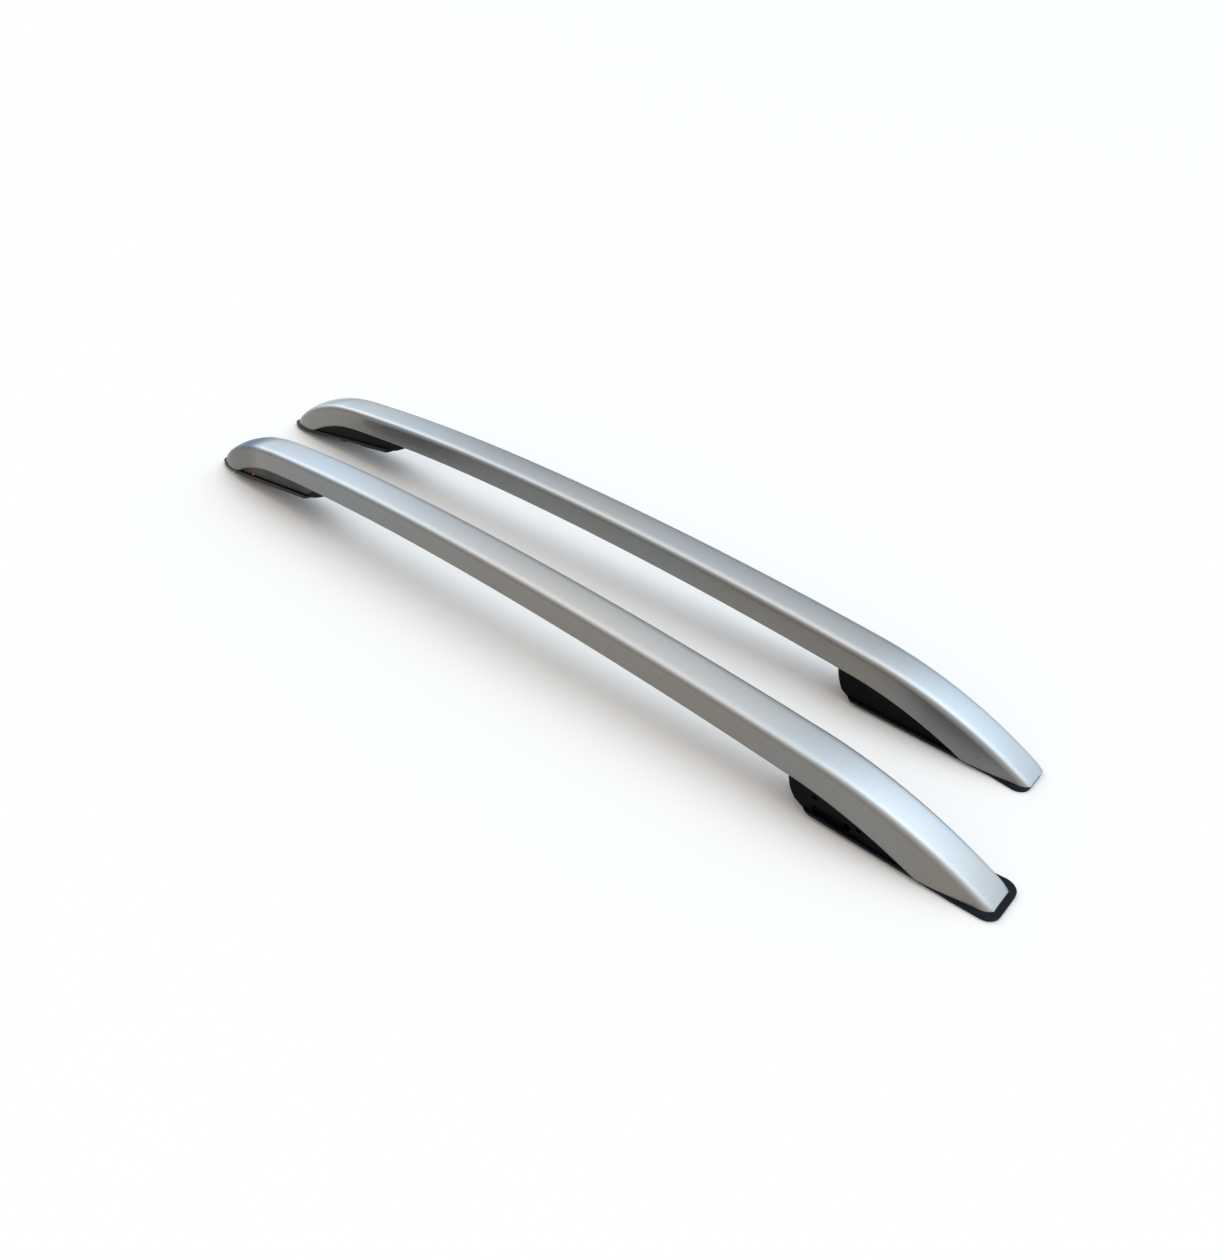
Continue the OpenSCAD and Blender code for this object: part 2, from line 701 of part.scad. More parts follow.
module left_bar() { color(silver) left_rail() bar(REAR); }
module left_front_leg() { color(black_plastic) left_rail() at_end(FRONT) leg(FRONT); }
module left_rear_leg() { color(black_plastic) left_rail() at_end(REAR) leg(REAR); }
module left_front_gasket() { color(rubber) left_rail() at_end(FRONT) gasket(FRONT); }
module left_rear_gasket() { color(rubber) left_rail() at_end(REAR) gasket(REAR); }
module left_front_mount_plate() { color(zinc) left_rail() at_end(FRONT) mount_plate(FRONT); }
module left_rear_mount_plate() { color(zinc) left_rail() at_end(REAR) mount_plate(REAR); }
module left_front_mount_nut() { color(zinc) left_rail() at_end(FRONT) mount_nut(FRONT); }
module left_rear_mount_nut() { color(zinc) left_rail() at_end(REAR) mount_nut(REAR); }
module left_front_tip_insert() { color(brass) left_rail() at_end(FRONT) tip_insert(FRONT); }
module left_rear_tip_insert() { color(brass) left_rail() at_end(REAR) tip_insert(REAR); }
module left_front_screws() { color(zinc) left_rail() at_end(FRONT) leg_screws(FRONT); }
module left_rear_screws() { color(zinc) left_rail() at_end(REAR) leg_screws(REAR); }
module left_front_rivet_nuts() { color(zinc) left_rail() at_end(FRONT) rivet_nuts(FRONT); }
module left_rear_rivet_nuts() { color(zinc) left_rail() at_end(REAR) rivet_nuts(REAR); }
module right_bar() { color(silver) right_rail() bar(RIGHT_REAR); }
module right_front_leg() { color(black_plastic) right_rail() at_end(FRONT) leg(FRONT); }
module right_rear_leg() { color(black_plastic) right_rail() at_end(RIGHT_REAR) leg(RIGHT_REAR); }
module right_front_gasket() {
    color(rubber) right_rail() at_end(FRONT) difference() {
        gasket(FRONT);
        waves();
    }
}
module right_rear_gasket() { color(rubber) right_rail() at_end(RIGHT_REAR) gasket(RIGHT_REAR); }
module right_front_mount_plate() { color(zinc) right_rail() at_end(FRONT) mount_plate(FRONT); }
module right_rear_mount_plate() { color(zinc) right_rail() at_end(RIGHT_REAR) mount_plate(RIGHT_REAR); }
module right_front_mount_nut() { color(zinc) right_rail() at_end(FRONT) mount_nut(FRONT); }
module right_rear_mount_nut() { color(zinc) right_rail() at_end(RIGHT_REAR) mount_nut(RIGHT_REAR); }
module right_front_tip_insert() { color(brass) right_rail() at_end(FRONT) tip_insert(FRONT); }
module right_rear_tip_insert() { color(brass) right_rail() at_end(RIGHT_REAR) tip_insert(RIGHT_REAR); }
module right_front_screws() { color(zinc) right_rail() at_end(FRONT) leg_screws(FRONT); }
module right_rear_screws() { color(zinc) right_rail() at_end(RIGHT_REAR) leg_screws(RIGHT_REAR); }
module right_front_rivet_nuts() { color(zinc) right_rail() at_end(FRONT) rivet_nuts(FRONT); }
module right_rear_rivet_nuts() { color(zinc) right_rail() at_end(RIGHT_REAR) rivet_nuts(RIGHT_REAR); }

left_bar();
left_front_leg();
left_rear_leg();
left_front_gasket();
left_rear_gasket();
left_front_mount_plate();
left_rear_mount_plate();
left_front_mount_nut();
left_rear_mount_nut();
left_front_tip_insert();
left_rear_tip_insert();
left_front_screws();
left_rear_screws();
left_front_rivet_nuts();
left_rear_rivet_nuts();
right_bar();
right_front_leg();
right_rear_leg();
right_front_gasket();
right_rear_gasket();
right_front_mount_plate();
right_rear_mount_plate();
right_front_mount_nut();
right_rear_mount_nut();
right_front_tip_insert();
right_rear_tip_insert();
right_front_screws();
right_rear_screws();
right_front_rivet_nuts();
right_rear_rivet_nuts();
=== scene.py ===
import math

import bmesh
import bpy
from mathutils import Matrix, Vector


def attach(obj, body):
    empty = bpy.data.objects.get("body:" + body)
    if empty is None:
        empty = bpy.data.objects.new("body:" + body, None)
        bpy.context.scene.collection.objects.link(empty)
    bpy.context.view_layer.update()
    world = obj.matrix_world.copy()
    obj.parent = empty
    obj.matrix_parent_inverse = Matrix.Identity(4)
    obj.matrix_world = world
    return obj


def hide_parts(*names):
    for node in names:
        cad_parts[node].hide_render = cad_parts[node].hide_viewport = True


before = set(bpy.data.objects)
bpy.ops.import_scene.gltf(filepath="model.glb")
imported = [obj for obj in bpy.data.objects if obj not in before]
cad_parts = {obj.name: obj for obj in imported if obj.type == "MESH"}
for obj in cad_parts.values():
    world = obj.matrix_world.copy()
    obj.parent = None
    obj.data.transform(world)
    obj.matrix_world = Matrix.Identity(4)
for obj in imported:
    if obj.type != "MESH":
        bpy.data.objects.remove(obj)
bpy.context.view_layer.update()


# Silver bars: two hollow aluminium tubes, stretch bent in a long bow with a tight bend at each
# end, painted silver metallic under clear coat. Their ends are sawn off flush with the gaskets,
# and four holes in the lower wall take the rivet nuts of the leg screws.
bar_len = 1.554
crown_h = 0.1195
crown_from_front = 0.632
bar_w, bar_h, bar_wall = 0.060, 0.040, 0.0025
upper_edge_r, lower_edge_r = 0.008, 0.004
outer_flare, inner_flare = 0.005, 0.001
top_dome = 0.001
dome_row, outer_row = 0.008, 0.022
block_half = 0.001
lean = math.radians(2.8)
rear_tip_share, rear_skirt_share = 0.82, 1.164
nose_len, nose_share = 0.072, 0.4
nose_dome, nose_dome_len = 0.005, 0.190
rear_corner_len, rear_corner_share = 0.014, 0.8
past_tip, tip_steps = math.radians(8), 6
past_tip_steps = 4
bend_step = math.radians(1.5)
rear_bow_steps, front_bow_steps = 12, 9
rivet_hole_r, rivet_hole_sides = 0.0046, 32
screw_room, nut_from_end = 0.0132, 0.037
rail_spacing, stagger = 0.2075, 0.0488
left_toe, right_toe = 0.0065, 0.0025


class Foot:
    """One end of a rail: the bar's top line is a wide bow from the crown, then a tight bend.

    Distances x are taken inboard from the tip of the foot's gasket.
    """

    def __init__(self, crown_dist, bend_len, shoulder_h, reach, slope, rim_t, tip_h, leg_len):
        self.crown_dist, self.bend_len, self.reach = crown_dist, bend_len, reach
        self.slope, self.rim_t, self.leg_len = slope, rim_t, leg_len
        self.run = crown_dist - bend_len
        self.drop = crown_h - shoulder_h
        self.bow_r = (self.run ** 2 + self.drop ** 2) / (2 * self.drop)
        self.bow_angle = math.asin(self.run / self.bow_r)
        end_drop = shoulder_h - reach * math.tan(slope) - rim_t - tip_h
        self.tip_angle = 2 * math.atan(end_drop / bend_len) - self.bow_angle
        self.bend_r = bend_len / (math.sin(self.tip_angle) - math.sin(self.bow_angle))
        x = reach
        while self.room(x) <= screw_room:
            x += 0.001
        self.screws = (x, (x + leg_len - nut_from_end) / 2)

    def line(self, a):
        """Distance from the crown and height of the top line where its slope is a."""
        if a <= self.bow_angle:
            return self.bow_r * math.sin(a), crown_h - self.bow_r * (1 - math.cos(a))
        x = self.run + self.bend_r * (math.sin(a) - math.sin(self.bow_angle))
        return x, crown_h - self.drop - self.bend_r * (math.cos(self.bow_angle) - math.cos(a))

    def slope_at(self, x, depth):
        """Slope of the bar at x, on the line that lies a depth below its top."""
        run = self.crown_dist + self.reach - x
        a = math.asin(min(1, run / (self.bow_r - depth)))
        if a <= self.bow_angle:
            return a
        past = (self.bow_r - self.bend_r) * math.sin(self.bow_angle)
        return math.asin((run - past) / (self.bend_r - depth))

    def height(self, x, depth):
        """Height at x of the line that lies a depth below the bar's top."""
        a = self.slope_at(x, depth)
        return self.line(a)[1] - depth * math.cos(a)

    def room(self, x):
        """Height of the bar's underside over the gasket's rim at x."""
        return self.height(x, bar_h) - self.rim_t - x * math.tan(self.slope)

    def middle(self, x):
        """Where the leg's middle lies sideways, because the rail leans outwards."""
        low = (crown_h / 2 - self.rim_t) * math.tan(lean)
        high = (crown_h / 2 - self.height(self.leg_len, bar_h)) * math.tan(lean)
        return low + (high - low) * x / self.leg_len


rear_run = bar_len - crown_from_front
front = Foot(crown_from_front, 0.216, 0.1013, 0.011, math.radians(8.1), 0.007, 0.0015, 0.338)
rear = Foot(rear_run, 0.243, 0.0853, 0.008, math.radians(1.5), 0.004, 0.002, 0.253)
right_rear = Foot(rear_run, 0.243, 0.0853, 0.003, math.radians(1.5), 0.004, 0.002, 0.264)


def front_share(f):
    """Share of the bar's full width near the rounded front nose, f from the tip."""
    axis = nose_len / math.sqrt(1 - nose_share ** 2)
    return math.sqrt(max(0.04, 1 - ((nose_len - f) / axis) ** 2)) if f < nose_len else 1


def rear_share(f, depth_share):
    """The same behind: the top narrows to a tip with round corners, the lower edges spread."""
    bend = min(1, max(0, 1 - f / rear.bend_len))
    corner = min(1, max(0, 1 - f / rear_corner_len))
    inset = (1 - rear_corner_share) * (1 - math.sqrt(1 - corner ** 2))
    top = (1 - (1 - rear_tip_share) * bend) * (1 - inset)
    low = 1 + (rear_skirt_share - 1) * min(1, bend * 4 / 3)
    return top + (low - top) * depth_share


def only(piece):
    """Makes piece the one selected and active object."""
    bpy.ops.object.select_all(action="DESELECT")
    piece.select_set(True)
    bpy.context.view_layer.objects.active = piece
    return piece


def pick(piece, test, kind="VERT"):
    """In edit mode, selects the vertices, edges or faces of piece for which test is true."""
    bpy.ops.mesh.select_mode(type=kind)
    bpy.ops.mesh.select_all(action="DESELECT")
    bpy.ops.object.mode_set(mode="OBJECT")
    mesh = piece.data
    found = 0
    for part in {"VERT": mesh.vertices, "EDGE": mesh.edges, "FACE": mesh.polygons}[kind]:
        if kind == "VERT":
            part.select = bool(test(part.co))
        elif kind == "EDGE":
            part.select = bool(test(*(mesh.vertices[i].co for i in part.vertices)))
        else:
            part.select = bool(test(part.center, part.normal))
        found += part.select
    bpy.ops.object.mode_set(mode="EDIT")
    return found


def take_out(piece, cutter):
    """Takes cutter's space out of piece, and removes cutter."""
    only(piece)
    difference = piece.modifiers.new("cut", "BOOLEAN")
    difference.operation = "DIFFERENCE"
    difference.solver = "EXACT"
    difference.object = cutter
    if cutter.data.materials:
        difference.material_mode = "TRANSFER"
    bpy.ops.object.modifier_apply(modifier=difference.name)
    bpy.data.objects.remove(cutter)


def finish(piece, smooth=30):
    """Leaves piece at the origin, unturned and unscaled, its rounded edges shaded smooth."""
    only(piece)
    bpy.ops.object.transform_apply(location=True, rotation=True, scale=True)
    bpy.ops.object.shade_smooth_by_angle(angle=math.radians(smooth))
    weighted = piece.modifiers.new("weighted", "WEIGHTED_NORMAL")
    weighted.keep_sharp = True
    bpy.ops.object.modifier_apply(modifier=weighted.name)
    return piece


def bar_block():
    """A short block with the bar's section at the crown, its end faces towards -X and +X."""
    bpy.ops.object.select_all(action="DESELECT")
    bpy.ops.mesh.primitive_cube_add(size=1)
    block = only(bpy.context.object)
    bpy.ops.object.mode_set(mode="EDIT")
    bpy.ops.transform.resize(value=(2 * block_half, bar_w, bar_h - top_dome))
    bpy.ops.transform.translate(value=(0, 0, crown_h - (top_dome + bar_h) / 2))
    middle = crown_h - bar_h / 2
    for side, flare in ((-1, outer_flare), (1, inner_flare)):
        pick(block, lambda co: co.z < middle and co.y * side > 0)
        bpy.ops.transform.translate(value=(0, side * flare, 0))
    for upper, radius, steps in ((True, upper_edge_r, 6), (False, lower_edge_r, 4)):
        pick(block, lambda a, b: abs(a.x - b.x) > block_half and (a.z > middle) == upper, "EDGE")
        bpy.ops.mesh.bevel(offset=radius, offset_type="OFFSET", segments=steps)
    for row in (-2, -1, 0, 1, 2):
        bpy.ops.mesh.select_all(action="SELECT")
        bpy.ops.mesh.bisect(plane_co=(0, row * dome_row, 0), plane_no=(0, 1, 0))
    flat = crown_h - top_dome - 1e-5
    for y in (0, dome_row, 2 * dome_row, outer_row):
        pick(block, lambda co: co.z > flat and abs(abs(co.y) - y) < 0.002)
        bpy.ops.transform.translate(value=(0, 0, top_dome * (1 - (2 * y / bar_w) ** 2)))
    return block


def choose(block, points):
    """In edit mode, selects the points of block with these numbers and no others."""
    shape = bmesh.from_edit_mesh(block.data)
    for vertex in shape.verts:
        vertex.select = False
    shape.verts.ensure_lookup_table()
    for i in points:
        shape.verts[i].select = True
    shape.select_flush_mode()
    bmesh.update_edit_mesh(block.data)


def draw_out(block, foot, side, steps):
    """Draws the block's end face out along one half of the top line, station by station."""
    corner = foot.tip_angle - rear_corner_len / foot.bend_r
    bend_angle = corner - foot.bow_angle
    bends = math.ceil(bend_angle / bend_step)
    slopes = [foot.bow_angle * i / steps for i in range(1, steps + 1)]
    slopes += [foot.bow_angle + i * bend_angle / bends for i in range(1, bends + 1)]
    for i in range(1, tip_steps + 1):
        slopes.append(foot.tip_angle - (foot.tip_angle - corner) * (1 - i / tip_steps) ** 2)
    for i in range(1, past_tip_steps + 1):
        slopes.append(foot.tip_angle + i * past_tip / past_tip_steps)
    pick(block, lambda co: co.x * side > 0)
    x0, z0, a0 = side * block_half, crown_h, 0
    shares, lifts = {}, {}
    for a in slopes:
        run, z = foot.line(a)
        x = side * run
        bpy.ops.mesh.extrude_region_move(TRANSFORM_OT_translate={"value": (x - x0, 0, z - z0)})
        top = Vector((x, 0, z))
        bpy.ops.transform.rotate(value=side * (a0 - a), orient_axis="Y", center_override=top)
        turn = Matrix.Rotation(side * a, 3, "Y")
        from_tip = foot.crown_dist - run
        u = from_tip / nose_dome_len
        rise = nose_dome * max(0, 4 * u * (1 - u)) if side < 0 else 0
        shape = bmesh.from_edit_mesh(block.data)
        section = {v.index: turn.inverted() @ (v.co - top) for v in shape.verts if v.select}
        rows = {}
        for i, p in section.items():
            row = min(lifts, key=lambda r: abs(r - lifts[r] + p.z)) if lifts else round(-p.z, 5)
            rows.setdefault(row, []).append(i)
        for row, points in sorted(rows.items()):
            was = shares.get(row, 1)
            wide = max(abs(section[i].y) for i in points) / was
            f = from_tip + row * math.sin(a)
            share = front_share(f) if side < 0 else rear_share(f, min(1, row / bar_h))
            lift = rise * max(0, 1 - (2 * wide / bar_w) ** 2) * max(0, 1 - row / bar_h)
            if abs(share - was) > 1e-5 or abs(lift - lifts.get(row, 0)) > 1e-6:
                choose(block, points)
                bpy.ops.transform.resize(value=(1, share / was, 1), center_override=top)
                raised = turn @ Vector((0, 0, lift - lifts.get(row, 0)))
                bpy.ops.transform.translate(value=raised)
            shares[row], lifts[row] = share, lift
        choose(block, section)
        x0, z0, a0 = x, z, a
    bpy.ops.mesh.select_mode(type="FACE")
    bpy.ops.mesh.delete(type="FACE")


def saw_off(bar, foot, side):
    """Saws the bar's end off at its tip and along the gasket's rim, and drills two holes."""
    only(bar)
    bpy.ops.object.mode_set(mode="EDIT")
    tip, gasket_tip = side * bar_len / 2, side * (bar_len / 2 + foot.reach)
    down = (-side * math.sin(foot.slope), 0, -math.cos(foot.slope))
    inmost = bar_len / 2 - foot.leg_len / 2
    for place, outwards in (((tip, 0, 0), (side, 0, 0)), ((gasket_tip, 0, foot.rim_t), down)):
        pick(bar, lambda centre, normal: centre.x * side > inmost, "FACE")
        bpy.ops.mesh.bisect(
            plane_co=place, plane_no=outwards, use_fill=True, clear_outer=True, threshold=1e-5
        )
    bpy.ops.mesh.select_all(action="SELECT")
    bpy.ops.mesh.remove_doubles(threshold=2e-5)
    bpy.ops.object.mode_set(mode="OBJECT")
    for x in foot.screws:
        slope, low = foot.slope_at(x, bar_h), foot.height(x, bar_h)
        bpy.ops.mesh.primitive_cylinder_add(
            vertices=rivet_hole_sides,
            radius=rivet_hole_r,
            depth=3 * bar_wall,
            location=(gasket_tip - side * x, foot.middle(x), low),
            rotation=(0, side * slope, 0),
        )
        take_out(bar, bpy.context.object)


tube = bar_block()
draw_out(tube, rear, 1, rear_bow_steps)
draw_out(tube, front, -1, front_bow_steps)
bpy.ops.mesh.select_all(action="SELECT")
bpy.ops.mesh.remove_doubles(threshold=1e-6)
bpy.ops.mesh.normals_make_consistent(inside=False)
bpy.ops.object.mode_set(mode="OBJECT")
wall = tube.modifiers.new("wall", "SOLIDIFY")
wall.thickness = bar_wall
wall.offset = -1
wall.use_even_offset = True
bpy.ops.object.modifier_apply(modifier=wall.name)
# The plane in which the bar is bent leans outwards
shear = Matrix.Identity(4)
shear[1][2] = -math.tan(lean)
shear[1][3] = crown_h / 2 * math.tan(lean)
tube.data.transform(shear)
for vertex in tube.data.vertices:
    vertex.co.x += crown_from_front - bar_len / 2

right_bar = tube.copy()
right_bar.data = tube.data.copy()
bpy.context.collection.objects.link(right_bar)
left_bar = tube
left_bar.name, right_bar.name = "left_silver_bar", "right_silver_bar"
x_middle = (rear.reach - front.reach) / 2
y_middle = (right_toe - left_toe) / 2 * (1 - 2 * nose_len / bar_len)
for bar, back_foot in ((left_bar, rear), (right_bar, right_rear)):
    saw_off(bar, front, -1)
    saw_off(bar, back_foot, 1)


class Rail:
    """Where a rail lies: turned a little, and the right rail as the left one's mirror image."""

    def __init__(self, name, toe, ahead, across, feet, mirrored):
        self.name, self.feet, self.mirrored = name, feet, mirrored
        self.turn = math.atan(2 * toe / bar_len) * (1 if mirrored else -1)
        self.spot = Vector((ahead - x_middle, across - y_middle, 0))

    def place(self, piece):
        """Turns and moves a piece from the rail's own axis to its place."""
        if self.mirrored:
            only(piece)
            bpy.ops.object.mode_set(mode="EDIT")
            bpy.ops.mesh.select_all(action="SELECT")
            middle = {"center_override": (0, 0, 0)}
            bpy.ops.transform.mirror(constraint_axis=(False, True, False), **middle)
            bpy.ops.mesh.flip_normals()
            bpy.ops.object.mode_set(mode="OBJECT")
        piece.rotation_euler = (0, 0, self.turn)
        piece.location = self.spot

    def in_foot(self, foot, side, point):
        """Distance of a placed point from the gasket's tip, and its height over the roof."""
        x = (Matrix.Rotation(-self.turn, 3, "Z") @ (point - self.spot)).x
        from_tip = bar_len / 2 + foot.reach - side * x
        return from_tip, point.z - from_tip * math.tan(foot.slope)


left_feet = (("front", front, -1), ("rear", rear, 1))
right_feet = (("front", front, -1), ("rear", right_rear, 1))
left_rail = Rail("left", left_toe, stagger / 2, -rail_spacing / 2, left_feet, False)
right_rail = Rail("right", right_toe, -stagger / 2, rail_spacing / 2, right_feet, True)


class Value:
    """A value that runs through a material; sums and products of it add their maths nodes."""

    def __init__(self, paint, socket):
        self.paint, self.socket = paint, socket

    def maths(self, operation, *values):
        settings = {"operation": operation}
        return self.paint.node("ShaderNodeMath", settings, dict(enumerate(values)))

    def __add__(self, other):
        return self.maths("ADD", self, other)

    def __sub__(self, other):
        return self.maths("SUBTRACT", self, other)

    def __rsub__(self, other):
        return self.maths("SUBTRACT", other, self)

    def __mul__(self, other):
        return self.maths("MULTIPLY", self, other)

    __radd__, __rmul__ = __add__, __mul__

    def step(self, low, high):
        """Rises smoothly from 0 to 1 as the value goes from low to high."""
        return self.paint.node(
            "ShaderNodeMapRange",
            {"interpolation_type": "SMOOTHSTEP"},
            {"Value": self, "From Min": low, "From Max": high},
        )

    def parts(self):
        """The three parts of a vector."""
        split = self.paint.node("ShaderNodeSeparateXYZ", {}, {"Vector": self})
        outputs = split.socket.node.outputs
        return [Value(self.paint, outputs[axis]) for axis in "XYZ"]


class Paint:
    """The nodes of a material or of the sky, and how their values are made."""

    def __init__(self, owner):
        self.owner = owner
        owner.use_nodes = True
        self.tree = owner.node_tree

    def node(self, kind, settings={}, values={}, output=0):
        """Adds a node with its settings first, then the values or links of its sockets."""
        node = self.tree.nodes.new(kind)
        for setting, value in settings.items():
            setattr(node, setting, value)
        for socket, value in values.items():
            if isinstance(value, Value):
                self.tree.links.new(value.socket, node.inputs[socket])
            else:
                node.inputs[socket].default_value = value
        return Value(self, node.outputs[output])

    def place(self):
        return self.node("ShaderNodeTexCoord", output="Object")

    def noise(self, scale, detail=2, stretch=(1, 1, 1)):
        """Cloudy value between 0 and 1, in features of about 1 / scale metres."""
        place = self.node("ShaderNodeMapping", {}, {"Vector": self.place(), "Scale": stretch})
        values = {"Vector": place, "Scale": scale, "Detail": detail}
        return self.node("ShaderNodeTexNoise", {}, values)

    def blend(self, share, one, other):
        """Colour that goes from one to other as share goes from 0 to 1."""
        values = {0: share, 6: one, 7: other}
        return self.node("ShaderNodeMix", {"data_type": "RGBA"}, values, output=2)

    def feed(self, shader, socket, value):
        """Varies a shader's socket, or sets it where the value is the same everywhere."""
        target = self.tree.nodes[shader].inputs[socket]
        if isinstance(value, Value):
            self.tree.links.new(value.socket, target)
        else:
            target.default_value = value


class Finish(Paint):
    """A material with one Principled shader."""

    def __init__(self, name, **constants):
        super().__init__(bpy.data.materials.new(name))
        for socket, value in constants.items():
            self.put(socket.replace("_", " ").title().replace("Ior", "IOR"), value)

    def put(self, socket, value):
        self.feed("Principled BSDF", socket, value)

    def bump(self, height, distance):
        """Relief whose height is given, distance metres high where that is 1."""
        values = {"Height": height, "Distance": distance}
        self.put("Normal", self.node("ShaderNodeBump", {}, values))

    def on(self, piece):
        """Gives piece this finish all over."""
        piece.data.materials.clear()
        piece.data.materials.append(self.owner)


# Metallic flakes under clear coat, a little cloudy in tone; the side faces get a darker silver
# than the tops, which is painted shade, with sparse dark specks along their lower edge
top_cool, top_warm = (0.500, 0.530, 0.556, 1), (0.525, 0.525, 0.520, 1)
# Colour of the dark blue painted reflection on the left rail's front nose
painted_nose_reflection = (0.170, 0.215, 0.270, 1)
# Darker silver of the side faces: painted shade
painted_shade_cool, painted_shade_warm = (0.208, 0.212, 0.206, 1), (0.218, 0.201, 0.178, 1)
speck_tone = (0.05, 0.045, 0.04, 1)
silver = Finish("silver_paint", metallic=0.92, coat_roughness=0.08)
across = silver.node("ShaderNodeNewGeometry", output="Normal").parts()[1]
sidewards = across.maths("ABSOLUTE", across).step(0.40, 0.97)
clouds = silver.noise(3.5, 2).step(0.38, 0.62)
fine = silver.noise(60, 3)
specks = silver.noise(300, 1).step(0.72, 0.77) * silver.noise(8, 2).step(0.45, 0.62) * sidewards
along, beside, _ = silver.place().parts()
ahead = 0 - along
# A dark blue painted reflection lies on the left rail's front nose, weaker at its very tip, and
# the clear coat is thinner under it
painted_reflection_tip_fade = 1 - 0.4 * ahead.step(0.67, 0.71)
painted_reflection_at_nose = ahead.step(0.575, 0.625) * painted_reflection_tip_fade * (0 - beside).step(0, 0.02)
top_tone = silver.blend(clouds, top_cool, top_warm)
top_tone = silver.blend(painted_reflection_at_nose, top_tone, painted_nose_reflection)
# Side faces take the darker silver, cool or warm in places: painted shade
painted_shade_tone = silver.blend(clouds, painted_shade_cool, painted_shade_warm)
tone = silver.blend(sidewards, top_tone, painted_shade_tone)
silver.put("Base Color", silver.blend(specks * 0.8, tone, speck_tone))
silver.put("Specular Tint", (0.60, 0.65, 0.70, 1))
silver.put("Coat Weight", 0.5 - 0.5 * painted_reflection_at_nose)
silver.put("Roughness", 0.30 + 0.06 * silver.noise(800, 1) + 0.06 * fine + 0.25 * specks)
silver.bump(silver.noise(260, 2), 0.00002)

for bar, rail in ((left_bar, left_rail), (right_bar, right_rail)):
    rail.place(bar)
    finish(bar)
    silver.on(bar)
    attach(bar, "root")
    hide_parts(f"{rail.name}_bar")


# Legs: four black moulded wedges that fill the gap between bar and roof, with a tongue inside the
# bar's end. Their outer sides are recessed to keep the wall thin, and two screws from below hold
# each to the bar.
leg_inset, leg_half = 0.003, 0.035
surface = leg_half - leg_inset
# Height, length and depth of the rounding at the inboard end of each rail's feet
heels = {"left": (0.024, 0.028, 0.014), "right": (0.010, 0.016, 0.007)}
heel_cuts = (0.05, 0.12, 0.22, 0.36, 0.55, 0.76, 1)
heel_zone = 0.03
leg_edge_r = 0.0006
# How far the legs' cutting blocks reach past the outer side
clear_of_leg = 0.05


def moulding(node, name):
    """A merged copy of a node's solid, to be worked on."""
    piece = bpy.data.objects.new(name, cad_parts[node].data.copy())
    bpy.context.scene.collection.objects.link(piece)
    only(piece)
    bpy.ops.object.mode_set(mode="EDIT")
    bpy.ops.mesh.select_all(action="SELECT")
    bpy.ops.mesh.remove_doubles(threshold=1e-6)
    bpy.ops.mesh.dissolve_limited(angle_limit=math.radians(0.5))
    bpy.ops.object.mode_set(mode="OBJECT")
    return piece


def block_at(foot, side, along, outwards, up, radius=0, lean_in=0, steps=4):
    """A block placed on a leg, its edges rounded if a radius is given.

    along are its two distances from the gasket's tip, outwards those from the leg's middle to
    the outer side, and up those above the gasket's rim; its inboard end leans by lean_in.
    """
    bpy.ops.object.select_all(action="DESELECT")
    bpy.ops.mesh.primitive_cube_add(size=2)
    block = only(bpy.context.object)
    bpy.ops.object.mode_set(mode="EDIT")
    for inboard in (0, 1):
        for far in (0, 1):
            for high in (0, 1):
                corner = Vector((2 * inboard - 1, 2 * far - 1, 2 * high - 1))
                x = along[inboard] + (lean_in if inboard and high else 0)
                y = foot.middle(x) - outwards[far]
                z = foot.rim_t + x * math.tan(foot.slope) + up[high]
                target = Vector((side * (bar_len / 2 + foot.reach - x), y, z))
                pick(block, lambda co: (co - corner).length < 0.01)
                bpy.ops.transform.translate(value=target - corner)
    bpy.ops.mesh.select_all(action="SELECT")
    bpy.ops.mesh.normals_make_consistent(inside=False)
    if radius:
        bpy.ops.mesh.bevel(offset=radius, segments=steps, clamp_overlap=True)
    bpy.ops.object.mode_set(mode="OBJECT")
    return block


def round_heel(piece, rail, foot, side, past=0):
    """Draws in the lower inboard corner of a leg or gasket, which rounds it from the side.

    A gasket reaches past the leg and is drawn in by that much more.
    """
    heel_h, heel_len, heel_depth = heels[rail.name]
    only(piece)
    bpy.ops.object.mode_set(mode="EDIT")
    upwards = Vector((side * math.sin(foot.slope), 0, math.cos(foot.slope)))
    upwards.rotate(Matrix.Rotation(rail.turn, 3, "Z"))
    edge = Vector((side * (bar_len / 2 + foot.reach), 0, 0))
    edge.rotate(Matrix.Rotation(rail.turn, 3, "Z"))
    inmost = foot.leg_len - heel_zone
    for share in heel_cuts:
        pick(piece, lambda centre, normal: rail.in_foot(foot, side, centre)[0] > inmost, "FACE")
        cut = edge + rail.spot + Vector((0, 0, share * heel_h))
        bpy.ops.mesh.bisect(plane_co=cut, plane_no=upwards)
    bpy.ops.object.mode_set(mode="OBJECT")
    tipwards = Vector((side, 0, 0))
    tipwards.rotate(Matrix.Rotation(rail.turn, 3, "Z"))
    for vertex in piece.data.vertices:
        from_tip, rise = rail.in_foot(foot, side, vertex.co)
        share = min(1, (from_tip - foot.leg_len) / heel_len + 1)
        if share > 0 and rise < heel_h:
            level = 1 - max(0, rise) / heel_h
            depth = heel_depth * (1 - math.sqrt(1 - level ** 2))
            vertex.co += tipwards * share * (past + depth)


def round_edges(piece, width, steps=2):
    """Rounds the sharp edges of a moulding."""
    only(piece)
    rounding = piece.modifiers.new("rounding", "BEVEL")
    rounding.width = width
    rounding.segments = steps
    rounding.limit_method = "ANGLE"
    rounding.angle_limit = math.radians(35)
    bpy.ops.object.modifier_apply(modifier=rounding.name)


